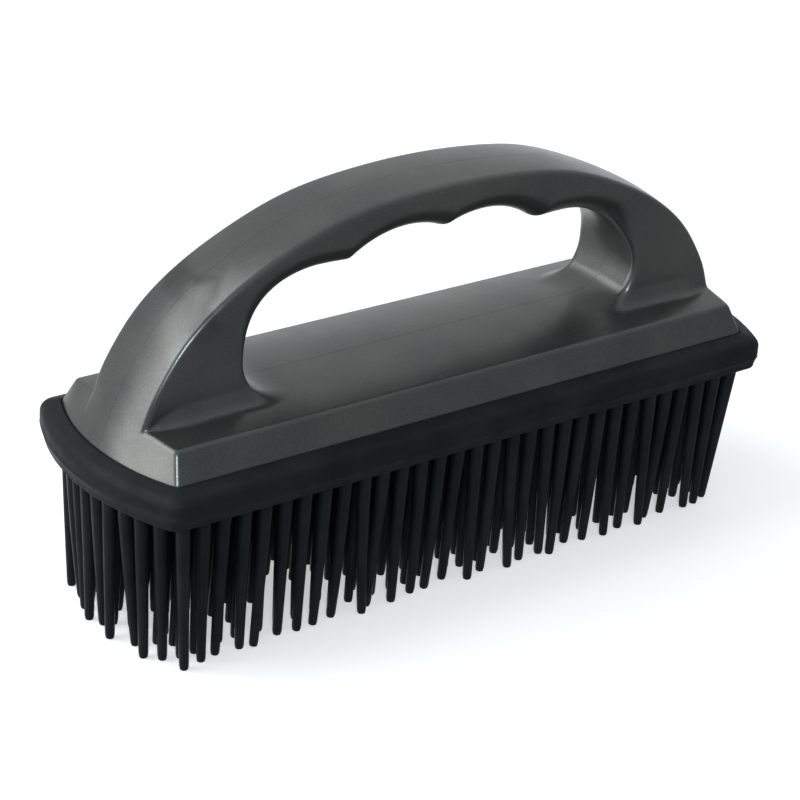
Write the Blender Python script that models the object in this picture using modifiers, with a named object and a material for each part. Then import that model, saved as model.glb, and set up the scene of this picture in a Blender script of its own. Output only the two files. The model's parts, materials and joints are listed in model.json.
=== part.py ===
"""Rubber curry brush: an arched handle moulded in two halves, a backing plate with six screws,
a rubber pad stretched over the plate, and eleven rows of rubber bristles that bend together.

Metres, +Z up, +X along the brush. The origin is under the middle, level with the bristle tips.
"""

import math

import bmesh
import bpy
from mathutils import Matrix

# Heights above the bristle tips
PAD_BOTTOM = 0.0328  # underside of the rubber rim, and the line on which the bristles bend
LIP = 0.0403  # where the handle block comes out of the rubber
BLOCK_EDGE = 0.0460  # upper edge of the block's sides
CROWN = 0.0020  # the block's top rises this much towards its middle
ARCH_RISE = 0.0381  # handle top above the block's edge

# The block in plan, at the lip: straight long sides, and ends that bulge on a wide arc
BLOCK_LENGTH = 0.1450
BLOCK_WIDTH = 0.0429
END_BULGE = 0.0048
BLOCK_DRAFT = 0.0029  # how far the sides lean in between the lip and the edge
BLOCK_CORNER = 0.0009
END_STEPS = 7
CORNER_STEPS = 3

# The arched handle, in side view
ARCH_HALF = 0.0720
ARCH_POWER = 1.92  # just under an ellipse's 2
ARCH_WIDTH = 0.0184
ARCH_EDGE = 0.0008
FLARE = 0.0038  # the legs spread this much as they run into the block's ends
FLARE_HEIGHT = 0.0085
ARCH_STEPS = 32

HOLLOW_LOW_RISE = 0.0326  # lower edge of the hollow inside the arch
HOLLOW_LOW_POWER = 2.4
HOLLOW_LOW_MARGIN = 0.0025  # from the hand opening to that edge, at the legs

# The hand opening under the arch. Heights here are above the lip.
OPENING_HALF = 0.0501
SIDE_CENTRE = (0.0310, 0.0160)  # centre of the curve that turns from a leg into the grip
SIDE_UP = 0.0153
SIDE_DOWN = 0.0132
GROOVE_CENTRE = (0.0096, 0.0104)  # centre of the arc of a middle finger's groove
GROOVE_RADIUS = 0.0252
GROOVE_END = 0.0240  # where a middle finger's groove meets an outer one
SIDE_STEPS = 14
GROOVE_STEPS = 6

WALL = 0.0024
GAP = 0.0003  # left between pieces that touch
SPLIT_GAP = 0.0003  # between the two halves of the handle

# Backing plate and rubber pad. The offsets are measured outwards from the block's sides.
PLATE_OUT = 0.0022
PLATE_THICK = 0.0020
PLATE_CORNER = 0.0020
SHEET = 0.0020
RIM_OUT = 0.0046
RIM_THICK = 0.0024
RIM_INNER_CORNER = 0.0012
RIM_PROFILE = (  # (how far inside RIM_OUT, height over the rim's underside, plan corner radius)
    (0.0005, 0.0, 0.0030),
    (0.0, 0.0009, 0.0034),
    (0.0, 0.0044, 0.0034),
    (0.0006, 0.0061, 0.0030),
    (0.0020, 0.0070, 0.0022),
)

# Screws, up through the plate into the handle's bosses
SCREW_X = (-0.050, 0.0, 0.050)
SCREW_Y = 0.012
SHANK_RADIUS = 0.00145
HEAD_RADIUS = 0.0028
HEAD_HEIGHT = 0.0014
SCREW_LENGTH = 0.0064
SCREW_TAPER = 0.0012
SCREW_TIP_RADIUS = 0.00065
SCREW_PLAY = 0.00005  # between a screw's head and the plate's underside
BORE_EXTRA = 0.0004  # depth left past a screw's tip
OVERRUN = 0.001  # cutters run this far past what they cut
BOSS_RADIUS = 0.0035
TURNED_SIDES = 12

# Bristles
ROWS = 11
ROW_SPAN = 0.0430  # between the first row and the last
BRISTLE_PITCH = 0.00468
FIELD_END_CENTRE = 0.0350  # the rows end on this arc, inside the rim
FIELD_END_RADIUS = 0.0420
BAR_HALF_WIDTH = 0.00155
ROOT_RADIUS = 0.0015
TIP_RADIUS = 0.00097
BRISTLE_SIDES = 6
BAR_HALF_HEIGHT = 0.0008

END_ARC_RADIUS = ((BLOCK_WIDTH / 2) ** 2 + END_BULGE**2) / (2 * END_BULGE)
END_ARC_CENTRE = BLOCK_LENGTH / 2 + END_BULGE - END_ARC_RADIUS
ARCH_BASE = LIP + 0.0045  # the arch starts inside the block
SHEET_BOTTOM = PAD_BOTTOM + BAR_HALF_WIDTH + GAP
SHEET_TOP = SHEET_BOTTOM + SHEET
PLATE_BOTTOM = SHEET_TOP + GAP
PLATE_TOP = PLATE_BOTTOM + PLATE_THICK
BLOCK_BOTTOM = PLATE_TOP + GAP


def clear_scene():
    for obj in list(bpy.data.objects):
        bpy.data.objects.remove(obj, do_unlink=True)


def new_collection(name):
    collection = bpy.data.collections.new(name)
    bpy.context.scene.collection.children.link(collection)
    return collection


def plain_material(name, colour, roughness, metallic=0.0):
    material = bpy.data.materials.new(name)
    material.use_nodes = True
    shader = material.node_tree.nodes["Principled BSDF"]
    shader.inputs["Base Color"].default_value = (*colour, 1.0)
    shader.inputs["Roughness"].default_value = roughness
    shader.inputs["Metallic"].default_value = metallic
    return material


def add_object(name, mesh, collection, material=None):
    obj = bpy.data.objects.new(name, mesh)
    collection.objects.link(obj)
    if material:
        mesh.materials.append(material)
        mesh.shade_smooth()
        mesh.set_sharp_from_angle(angle=math.radians(35))
    return obj


def add_cutter(name, mesh):
    obj = add_object(name, mesh, cutters)
    obj.hide_render = True
    obj.display_type = "WIRE"
    return obj


def boolean(obj, operation, other):
    modifier = obj.modifiers.new(f"{operation.title()} {other.name}", "BOOLEAN")
    modifier.operation = operation
    modifier.solver = "EXACT"
    modifier.object = other


def mesh_from(build):
    """A mesh holding what build() adds to an empty bmesh, with its faces turned outwards."""
    shape = bmesh.new()
    build(shape)
    bmesh.ops.recalc_face_normals(shape, faces=shape.faces)
    mesh = bpy.data.meshes.new("shape")
    shape.to_mesh(mesh)
    shape.free()
    return mesh


def plan_outline(out, corner):
    """The block's plan, moved outwards by out, as points in order round it."""
    half_width = BLOCK_WIDTH / 2 + out
    radius = END_ARC_RADIUS + out
    corner_y = half_width - corner
    corner_x = END_ARC_CENTRE + math.sqrt((radius - corner) ** 2 - corner_y**2)
    turn = math.atan2(corner_y, corner_x - END_ARC_CENTRE)
    quarter = []
    for step in range(END_STEPS + 1):
        angle = turn * step / END_STEPS
        quarter.append((END_ARC_CENTRE + radius * math.cos(angle), radius * math.sin(angle)))
    for step in range(1, CORNER_STEPS + 1):
        angle = turn + (math.pi / 2 - turn) * step / CORNER_STEPS
        quarter.append((corner_x + corner * math.cos(angle), corner_y + corner * math.sin(angle)))
    upper = quarter + [(-x, y) for x, y in reversed(quarter)]
    lower = [(x, -y) for x, y in reversed(upper[1:-1])]
    return upper + lower


def loft(rings):
    """A closed solid through rings of (offset, height, corner radius), capped at both ends."""

    def build(shape):
        levels = [
            [shape.verts.new((x, y, height)) for x, y in plan_outline(out, corner)]
            for out, height, corner in rings
        ]
        for below, above in zip(levels, levels[1:]):
            for i in range(len(below)):
                j = (i + 1) % len(below)
                shape.faces.new((below[i], below[j], above[j], above[i]))
        shape.faces.new(levels[0])
        shape.faces.new(levels[-1])

    return mesh_from(build)


def block_rings(inset, bottom):
    """Rings of the handle's block, or of its hollow when inset is the wall's thickness."""
    ridge = BLOCK_WIDTH / 2 - BLOCK_DRAFT
    rings = [(-inset, bottom, BLOCK_CORNER), (-inset, LIP, BLOCK_CORNER)]
    for across in (0.0, 0.3, 0.6, 0.85):
        height = BLOCK_EDGE - inset + CROWN * (1 - (1 - across) ** 2)
        out = -BLOCK_DRAFT - inset - across * (ridge - inset - BLOCK_CORNER)
        rings.append((out, height, BLOCK_CORNER))
    return rings


def arch_curve(half, rise, power, foot):
    """Points over an arch from +X to -X about the block's edge level, with its legs run down to foot."""
    points = [(half, foot)]
    for step in range(ARCH_STEPS + 1):
        angle = math.pi * step / ARCH_STEPS
        x = half * math.copysign(abs(math.cos(angle)) ** (2 / power), math.cos(angle))
        points.append((x, BLOCK_EDGE + rise * math.sin(angle) ** (2 / power)))
    return points + [(-half, foot)]


def flared(points):
    """The points with the legs spread near the block."""
    spread = []
    for x, z in points:
        near = max(0.0, 1 - max(0.0, z - BLOCK_EDGE) / FLARE_HEIGHT)
        spread.append((x + math.copysign(FLARE * near**2, x), z))
    return spread


def opening_curve():
    """Points round the hand opening, from the left foot over the finger grooves to the right foot."""
    side_x, side_z = SIDE_CENTRE
    reach = OPENING_HALF - side_x
    foot_angle = -math.asin((side_z - (ARCH_BASE - LIP)) / SIDE_DOWN)
    side = []
    for step in range(SIDE_STEPS + 1):
        angle = foot_angle + (math.pi / 2 - foot_angle) * step / SIDE_STEPS
        height = SIDE_UP if angle > 0 else SIDE_DOWN
        side.append((side_x + reach * math.cos(angle), side_z + height * math.sin(angle)))
    groove_x, groove_z = GROOVE_CENTRE
    groove = []
    for step in range(GROOVE_STEPS + 1):
        x = GROOVE_END * (1 - step / GROOVE_STEPS)
        groove.append((x, groove_z + math.sqrt(GROOVE_RADIUS**2 - (x - groove_x) ** 2)))
    right = [(x, LIP + z) for x, z in side + groove]
    return [(-x, z) for x, z in right] + right[-2::-1]


def side_slab(outline, width, edge, name):
    """A solid of the outline given in side view, centred on the middle plane, with rounded edges."""
    curve = bpy.data.curves.new(name, "CURVE")
    curve.dimensions = "2D"
    curve.fill_mode = "BOTH"
    curve.extrude = width / 2 - edge
    curve.bevel_depth = edge
    curve.bevel_resolution = 1
    curve.offset = -edge
    spline = curve.splines.new("POLY")
    spline.points.add(len(outline) - 1)
    for point, (x, z) in zip(spline.points, outline):
        point.co = (x, z, 0, 1)
    spline.use_cyclic_u = True
    guide = bpy.data.objects.new(name, curve)
    cutters.objects.link(guide)
    bpy.context.view_layer.update()
    mesh = bpy.data.meshes.new_from_object(guide.evaluated_get(bpy.context.evaluated_depsgraph_get()))
    bpy.data.objects.remove(guide)
    shape = bmesh.new()
    shape.from_mesh(mesh)
    bmesh.ops.remove_doubles(shape, verts=shape.verts, dist=1e-6)
    bmesh.ops.rotate(shape, verts=shape.verts, matrix=Matrix.Rotation(math.pi / 2, 3, "X"))
    bmesh.ops.recalc_face_normals(shape, faces=shape.faces)
    shape.to_mesh(mesh)
    shape.free()
    return mesh


def cylinders(places, radius, low, high):
    def build(shape):
        for x, y in places:
            where = Matrix.Translation((x, y, (low + high) / 2))
            bmesh.ops.create_cone(
                shape, cap_ends=True, segments=TURNED_SIDES, radius1=radius, radius2=radius,
                depth=high - low, matrix=where,
            )

    return mesh_from(build)


def turned(name, profile, collection, material=None):
    """A solid turned about its own Z from a profile of (radius, height), listed top to bottom."""
    mesh = bpy.data.meshes.new(name)
    points = [(radius, 0, height) for radius, height in profile]
    mesh.from_pydata(points, [(i, i + 1) for i in range(len(points) - 1)], [])
    obj = add_object(name, mesh, collection, material)
    screw = obj.modifiers.new("Turn", "SCREW")
    screw.steps = TURNED_SIDES
    screw.render_steps = TURNED_SIDES
    screw.use_merge_vertices = True
    screw.merge_threshold = 1e-5
    return obj


def handle_half(name, other_side):
    obj = add_object(name, loft(block_rings(0.0, BLOCK_BOTTOM)), parts, handle_plastic)
    boolean(obj, "UNION", arch)
    boolean(obj, "DIFFERENCE", block_hollow)
    boolean(obj, "DIFFERENCE", arch_hollow)
    boolean(obj, "UNION", bosses)
    boolean(obj, "DIFFERENCE", bores)
    boolean(obj, "DIFFERENCE", other_side)
    return obj


def half_space(name, side):
    """A box that covers the side of the middle plane that a half of the handle leaves free."""
    depth = BLOCK_WIDTH
    middle = side * (depth - SPLIT_GAP) / 2

    def build(shape):
        size = Matrix.Diagonal((2 * BLOCK_LENGTH, depth, BLOCK_LENGTH, 1))
        bmesh.ops.create_cube(shape, size=1, matrix=Matrix.Translation((0, middle, LIP)) @ size)

    return add_cutter(name, mesh_from(build))


def backing_plate():
    rings = [(PLATE_OUT, height, PLATE_CORNER) for height in (PLATE_BOTTOM, PLATE_TOP)]
    plate = add_object("backing_plate", loft(rings), parts, plate_plastic)
    for number, (x, y) in enumerate(screw_places, 1):
        top = PLATE_BOTTOM + HEAD_HEIGHT
        hole = SHANK_RADIUS + GAP
        slope = (HEAD_RADIUS - SHANK_RADIUS) / HEAD_HEIGHT
        profile = [
            (0, PLATE_TOP + OVERRUN),
            (hole, PLATE_TOP + OVERRUN),
            (hole, top),
            (HEAD_RADIUS + GAP + OVERRUN * slope, PLATE_BOTTOM - OVERRUN),
            (0, PLATE_BOTTOM - OVERRUN),
        ]
        countersink = turned(f"countersink_{number}", profile, cutters)
        countersink.hide_render = True
        countersink.display_type = "WIRE"
        countersink.location = (x, y, 0)
        boolean(plate, "DIFFERENCE", countersink)
    return plate


def screws():
    """Countersunk self-tapping screws, heads down, flush with the backing plate."""
    profile = [
        (0, SCREW_LENGTH),
        (SCREW_TIP_RADIUS, SCREW_LENGTH),
        (SHANK_RADIUS, SCREW_LENGTH - SCREW_TAPER),
        (SHANK_RADIUS, HEAD_HEIGHT),
        (HEAD_RADIUS, 0),
        (0, 0),
    ]
    made = []
    for number, (x, y) in enumerate(screw_places, 1):
        screw = turned(f"screw_{number}", profile, parts, steel)
        screw.location = (x, y, PLATE_BOTTOM + SCREW_PLAY)
        made.append(screw)
    return made


def rubber_pad():
    """The rim wraps the plate's edge in a groove, and a thin sheet spans it above the bristles."""
    inner = RIM_OUT - RIM_THICK
    groove = PLATE_OUT + GAP
    rings = [
        (inner, SHEET_BOTTOM, RIM_INNER_CORNER),
        (inner, PAD_BOTTOM, RIM_INNER_CORNER),
        *((RIM_OUT - inside, PAD_BOTTOM + height, corner) for inside, height, corner in RIM_PROFILE),
        (GAP, LIP, BLOCK_CORNER + GAP),
        (GAP, BLOCK_BOTTOM, BLOCK_CORNER + GAP),
        (groove, BLOCK_BOTTOM, PLATE_CORNER + GAP),
        (groove, SHEET_TOP, PLATE_CORNER + GAP),
    ]
    return add_object("rubber_pad", loft(rings), parts, rubber)


def faceted(radius, sides):
    """The corner radius of a regular polygon with the area of a circle of this radius."""
    return radius * math.sqrt(2 * math.pi / (sides * math.sin(2 * math.pi / sides)))


def bristle_row(number):
    """One row on its root bar. The object's origin is on the line that the row bends about."""
    y = ROW_SPAN * ((number - 1) / (ROWS - 1) - 0.5)
    half = FIELD_END_CENTRE + math.sqrt(FIELD_END_RADIUS**2 - y * y)
    count = round(2 * half / BRISTLE_PITCH) + 1

    def build_bar(shape):
        size = (2 * half + 2 * BAR_HALF_WIDTH, 2 * BAR_HALF_WIDTH, 2 * BAR_HALF_HEIGHT, 1)
        bmesh.ops.create_cube(shape, size=1, matrix=Matrix.Diagonal(size))

    def build_bristles(shape):
        quarter_turn = Matrix.Rotation(math.pi / BRISTLE_SIDES, 4, "Z")
        for i in range(count):
            x = half * (2 * i / (count - 1) - 1)
            bmesh.ops.create_cone(
                shape, cap_ends=True, segments=BRISTLE_SIDES, depth=PAD_BOTTOM,
                radius1=faceted(TIP_RADIUS, BRISTLE_SIDES), radius2=faceted(ROOT_RADIUS, BRISTLE_SIDES),
                matrix=Matrix.Translation((x, 0, -PAD_BOTTOM / 2)) @ quarter_turn,
            )

    name = f"bristle_row_{number:02d}"
    bristles = add_cutter(f"{name}_bristles", mesh_from(build_bristles))
    row = add_object(name, mesh_from(build_bar), parts, rubber)
    row.location = bristles.location = (0, y, PAD_BOTTOM)
    boolean(row, "UNION", bristles)
    return row


clear_scene()
parts = new_collection("rubber_curry_brush")
cutters = new_collection("cutters")
handle_plastic = plain_material("graphite plastic", (0.13, 0.135, 0.13), 0.42, 0.35)
plate_plastic = plain_material("black plastic", (0.03, 0.03, 0.032), 0.6)
rubber = plain_material("black rubber", (0.014, 0.016, 0.017), 0.62)
steel = plain_material("zinc plated steel", (0.55, 0.55, 0.57), 0.35, 1.0)

screw_places = [(x, y) for y in (-SCREW_Y, SCREW_Y) for x in SCREW_X]
arch_outline = flared(arch_curve(ARCH_HALF, ARCH_RISE, ARCH_POWER, ARCH_BASE)) + opening_curve()
hollow_outer = arch_curve(ARCH_HALF - WALL, ARCH_RISE - WALL, ARCH_POWER, ARCH_BASE)
hollow_inner = arch_curve(OPENING_HALF + HOLLOW_LOW_MARGIN, HOLLOW_LOW_RISE, HOLLOW_LOW_POWER, ARCH_BASE)
hollow_outline = hollow_outer + hollow_inner[::-1]
arch = add_cutter("arch", side_slab(arch_outline, ARCH_WIDTH, ARCH_EDGE, "arch_guide"))
arch_hollow = add_cutter("arch_hollow", side_slab(hollow_outline, ARCH_WIDTH - 2 * WALL, 0.0, "hollow_guide"))
block_hollow = add_cutter("block_hollow", loft(block_rings(WALL, BLOCK_BOTTOM - OVERRUN)))
bosses = add_cutter("bosses", cylinders(screw_places, BOSS_RADIUS, BLOCK_BOTTOM, BLOCK_EDGE))
bore_top = PLATE_BOTTOM + SCREW_LENGTH + BORE_EXTRA
bores = add_cutter("bores", cylinders(screw_places, SHANK_RADIUS + GAP, BLOCK_BOTTOM - OVERRUN, bore_top))

brush = bpy.data.objects.new("rubber_curry_brush", None)
parts.objects.link(brush)
pieces = [
    handle_half("handle_front_shell", half_space("rear_space", 1)),
    handle_half("handle_rear_shell", half_space("front_space", -1)),
    backing_plate(),
    *screws(),
    rubber_pad(),
    *(bristle_row(number) for number in range(1, ROWS + 1)),
]
for piece in pieces:
    piece.parent = brush
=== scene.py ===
import json
import math

import bmesh
import bpy
import numpy as np
from mathutils import Matrix, Vector


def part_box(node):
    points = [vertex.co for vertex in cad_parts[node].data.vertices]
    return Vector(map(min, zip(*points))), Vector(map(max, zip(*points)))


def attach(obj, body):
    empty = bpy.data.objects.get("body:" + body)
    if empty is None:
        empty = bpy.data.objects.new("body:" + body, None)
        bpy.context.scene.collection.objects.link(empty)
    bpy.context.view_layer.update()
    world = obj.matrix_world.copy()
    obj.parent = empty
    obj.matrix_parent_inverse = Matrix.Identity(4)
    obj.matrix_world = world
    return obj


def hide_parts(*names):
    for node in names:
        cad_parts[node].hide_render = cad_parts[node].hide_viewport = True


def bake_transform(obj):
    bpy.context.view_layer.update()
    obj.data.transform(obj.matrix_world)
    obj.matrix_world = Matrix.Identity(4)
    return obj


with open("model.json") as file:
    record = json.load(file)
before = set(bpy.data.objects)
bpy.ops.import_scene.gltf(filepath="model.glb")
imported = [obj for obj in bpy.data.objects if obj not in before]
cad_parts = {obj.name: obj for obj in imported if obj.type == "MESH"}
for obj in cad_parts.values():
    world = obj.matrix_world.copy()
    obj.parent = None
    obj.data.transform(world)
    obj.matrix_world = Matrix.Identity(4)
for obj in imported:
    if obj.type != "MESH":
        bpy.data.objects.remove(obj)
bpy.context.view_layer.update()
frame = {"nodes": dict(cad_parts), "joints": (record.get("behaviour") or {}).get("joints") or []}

mm = 0.001
padLow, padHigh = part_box("rubber_pad")
plateLow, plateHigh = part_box("backing_plate")
shellLow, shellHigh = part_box("handle_front_shell")
lip = padHigh.z  # the height at which the grey block comes out of the rubber
hinges = {joint["child"]: joint for joint in frame["joints"]}
print("frame loaded, lip at", round(lip / mm, 1), "mm")


cameraSetup = {
    "azimuth": -38.58,
    "elevation": 25.98,
    "roll": 4.2,
    "distance": 0.5345,
    "lens": 115.26,
    "aim": (-0.00445, -0.00078, -0.00694),  # from the middle of the lip
}


def addCamera(setup):
    azimuth, elevation, roll = (math.radians(setup[key]) for key in ("azimuth", "elevation", "roll"))
    back = Vector((
        math.sin(azimuth) * math.cos(elevation),
        -math.cos(azimuth) * math.cos(elevation),
        math.sin(elevation),
    ))
    data = bpy.data.cameras.new("camera")
    data.lens = setup["lens"]
    data.sensor_width = 36
    data.clip_start = 0.01
    camera = bpy.data.objects.new("camera", data)
    bpy.context.scene.collection.objects.link(camera)
    turn = back.to_track_quat("Z", "Y").to_matrix().to_4x4() @ Matrix.Rotation(roll, 4, "Z")
    aim = Vector(setup["aim"]) + Vector((0, 0, lip))
    camera.matrix_world = Matrix.Translation(aim + back * setup["distance"]) @ turn
    bpy.context.scene.camera = camera


addCamera(cameraSetup)
print("camera placed")


class NodeBench:
    # short ways to lay shader nodes and wire them up

    def __init__(self, material):
        self.tree = material.node_tree
        self.shader = self.tree.nodes["Principled BSDF"]
        self.place = self.tree.nodes.new("ShaderNodeTexCoord").outputs["Object"]

    def link(self, source, target):
        self.tree.links.new(source, target)

    def noise(self, scale, detail=2.0, roughness=0.5, place=None):
        node = self.tree.nodes.new("ShaderNodeTexNoise")
        node.inputs["Scale"].default_value = scale
        node.inputs["Detail"].default_value = detail
        node.inputs["Roughness"].default_value = roughness
        self.link(place or self.place, node.inputs["Vector"])
        return node.outputs["Fac"]

    def ramp(self, source, low, high, lowValue, highValue):
        node = self.tree.nodes.new("ShaderNodeMapRange")
        node.inputs["From Min"].default_value = low
        node.inputs["From Max"].default_value = high
        node.inputs["To Min"].default_value = lowValue
        node.inputs["To Max"].default_value = highValue
        self.link(source, node.inputs["Value"])
        return node.outputs["Result"]

    def math(self, operation, first, second=0.0):
        node = self.tree.nodes.new("ShaderNodeMath")
        node.operation = operation
        for value, socket in zip((first, second), node.inputs):
            if isinstance(value, (int, float)):
                socket.default_value = value
            else:
                self.link(value, socket)
        return node.outputs["Value"]

    def mix(self, amount, first, second):
        node = self.tree.nodes.new("ShaderNodeMix")
        node.data_type = "RGBA"
        colours = [socket for socket in node.inputs if socket.type == "RGBA"]
        for value, socket in zip((first, second), colours):
            if isinstance(value, tuple):
                socket.default_value = (*value, 1.0)
            else:
                self.link(value, socket)
        self.link(amount, node.inputs["Factor"])
        return next(socket for socket in node.outputs if socket.type == "RGBA")

    def axis(self, letter):
        node = self.tree.nodes.new("ShaderNodeSeparateXYZ")
        self.link(self.place, node.inputs["Vector"])
        return node.outputs[letter]

    def bump(self, height, strength, distance):
        node = self.tree.nodes.new("ShaderNodeBump")
        node.inputs["Strength"].default_value = strength
        node.inputs["Distance"].default_value = distance
        self.link(height, node.inputs["Height"])
        self.link(node.outputs["Normal"], self.shader.inputs["Normal"])


def newMaterial(name, metallic=0.0, coat=0.0, coatRoughness=0.3, specular=0.5):
    material = bpy.data.materials.new(name)
    material.use_nodes = True
    shader = material.node_tree.nodes["Principled BSDF"]
    shader.inputs["Metallic"].default_value = metallic
    shader.inputs["Coat Weight"].default_value = coat
    shader.inputs["Coat Roughness"].default_value = coatRoughness
    shader.inputs["Specular IOR Level"].default_value = specular
    return material


graphiteLook = {
    "dark": (0.112, 0.119, 0.116),
    "light": (0.146, 0.152, 0.144),
    "flake": (0.27, 0.275, 0.265),
    "weld": (0.072, 0.076, 0.074),
    "metallic": 0.82,
    "roughness": (0.27, 0.32),
    "coat": 0.06,
    "clouding": 60.0,  # per metre, the slow change of tone that moulding leaves
    "grain": 4600.0,  # per metre, the pigment's sparkle
    "grainRange": (0.50, 0.78),  # the noise values between which a flake shows
    "grainMost": 0.45,
    "weldPlace": -0.0560,  # where the flow of plastic met, on the left shoulder
    "weldWidth": 0.0030,
    "weldStrength": 0.75,
    "weldSlant": 0.35,  # sideways run for each metre across the grip
    "weldWander": 0.004,
    "weldFoot": (0.020, 0.027),  # heights above the lip over which it fades in
    "sinkShare": 3.0,  # height of the slow waves, in heights of the fine ones
    "bump": (0.12, 0.00006),  # strength and distance
}


def graphitePlastic(look):
    material = newMaterial("graphitePlastic", look["metallic"], look["coat"])
    bench = NodeBench(material)
    clouds = bench.noise(look["clouding"], 3.0)
    tone = bench.mix(bench.ramp(clouds, 0.32, 0.68, 0.0, 1.0), look["dark"], look["light"])
    grain = bench.ramp(bench.noise(look["grain"], 1.0), *look["grainRange"], 0.0, look["grainMost"])
    tone = bench.mix(grain, tone, look["flake"])
    wander = bench.ramp(bench.noise(90.0, 2.0), 0.3, 0.7, -look["weldWander"], look["weldWander"])
    slant = bench.math("MULTIPLY", bench.axis("Y"), look["weldSlant"])
    across = bench.math("ADD", bench.math("SUBTRACT", bench.axis("X"), slant), wander)
    away = bench.math("ABSOLUTE", bench.math("SUBTRACT", across, look["weldPlace"]))
    weld = bench.ramp(away, 0.0, look["weldWidth"], look["weldStrength"], 0.0)
    foot, full = look["weldFoot"]
    onTop = bench.ramp(bench.axis("Z"), lip + foot, lip + full, 0.0, 1.0)
    tone = bench.mix(bench.math("MULTIPLY", weld, onTop), tone, look["weld"])
    bench.link(tone, bench.shader.inputs["Base Color"])
    satin = bench.ramp(bench.noise(220.0, 4.0), 0.3, 0.7, *look["roughness"])
    bench.link(satin, bench.shader.inputs["Roughness"])
    fine = bench.noise(1400.0, 2.0)
    sink = bench.math("MULTIPLY", bench.noise(130.0, 2.0), look["sinkShare"])
    bench.bump(bench.math("ADD", fine, sink), *look["bump"])
    return material


rubberLook = {
    "dark": (0.0088, 0.0108, 0.0120),
    "light": (0.0172, 0.0190, 0.0202),
    "bloom": (0.030, 0.030, 0.028),  # the pale haze that rubber gets when it is handled
    "specular": 0.15,
    "padRoughness": (0.42, 0.60),
    "padBloom": 0.35,
    "bristleRoughness": (0.36, 0.52),
    "bristleBloom": 0.12,
    "clouding": 110.0,
    "grain": 2600.0,
}


def blackRubber(name, look, roughness, bloomMost):
    material = newMaterial(name, specular=look["specular"])
    bench = NodeBench(material)
    clouds = bench.ramp(bench.noise(look["clouding"], 4.0), 0.3, 0.7, 0.0, 1.0)
    tone = bench.mix(clouds, look["dark"], look["light"])
    bloom = bench.ramp(bench.noise(34.0, 5.0, 0.6), 0.45, 0.75, 0.0, bloomMost)
    tone = bench.mix(bloom, tone, look["bloom"])
    bench.link(tone, bench.shader.inputs["Base Color"])
    bench.link(bench.ramp(bench.noise(300.0, 3.0), 0.3, 0.7, *roughness), bench.shader.inputs["Roughness"])
    bench.bump(bench.noise(look["grain"], 3.0, 0.6), 0.35, 0.00004)
    return material


steelLook = {
    "dark": (0.40, 0.41, 0.43),
    "light": (0.60, 0.60, 0.58),
    "roughness": (0.25, 0.42),
}


def screwSteel(look):
    material = newMaterial("screwSteel", metallic=1.0)
    bench = NodeBench(material)
    clouds = bench.ramp(bench.noise(700.0, 3.0), 0.35, 0.7, 0.0, 1.0)
    bench.link(bench.mix(clouds, look["dark"], look["light"]), bench.shader.inputs["Base Color"])
    polish = bench.ramp(bench.noise(1500.0), 0.3, 0.7, *look["roughness"])
    bench.link(polish, bench.shader.inputs["Roughness"])
    bench.bump(bench.noise(2200.0, 2.0), 0.2, 0.00003)
    return material


plateLook = {
    "dark": (0.018, 0.019, 0.021),
    "light": (0.030, 0.031, 0.033),
    "roughness": (0.45, 0.65),
}


def platePlastic(look):
    material = newMaterial("platePlastic", specular=0.45)
    bench = NodeBench(material)
    clouds = bench.ramp(bench.noise(150.0, 3.0), 0.3, 0.7, 0.0, 1.0)
    bench.link(bench.mix(clouds, look["dark"], look["light"]), bench.shader.inputs["Base Color"])
    polish = bench.ramp(bench.noise(500.0), 0.3, 0.7, *look["roughness"])
    bench.link(polish, bench.shader.inputs["Roughness"])
    bench.bump(bench.noise(1800.0, 3.0), 0.3, 0.00004)
    return material


graphite = graphitePlastic(graphiteLook)
padRubber = blackRubber("padRubber", rubberLook, rubberLook["padRoughness"], rubberLook["padBloom"])
bristleRubber = blackRubber(
    "bristleRubber", rubberLook, rubberLook["bristleRoughness"], rubberLook["bristleBloom"],
)
print("materials made")


def dressNode(name, material):
    mesh = frame["nodes"][name].data
    mesh.materials.clear()
    mesh.materials.append(material)


dressNode("backing_plate", platePlastic(plateLook))
steel = screwSteel(steelLook)
for name in frame["nodes"]:
    if name.startswith("screw_"):
        dressNode(name, steel)


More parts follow.
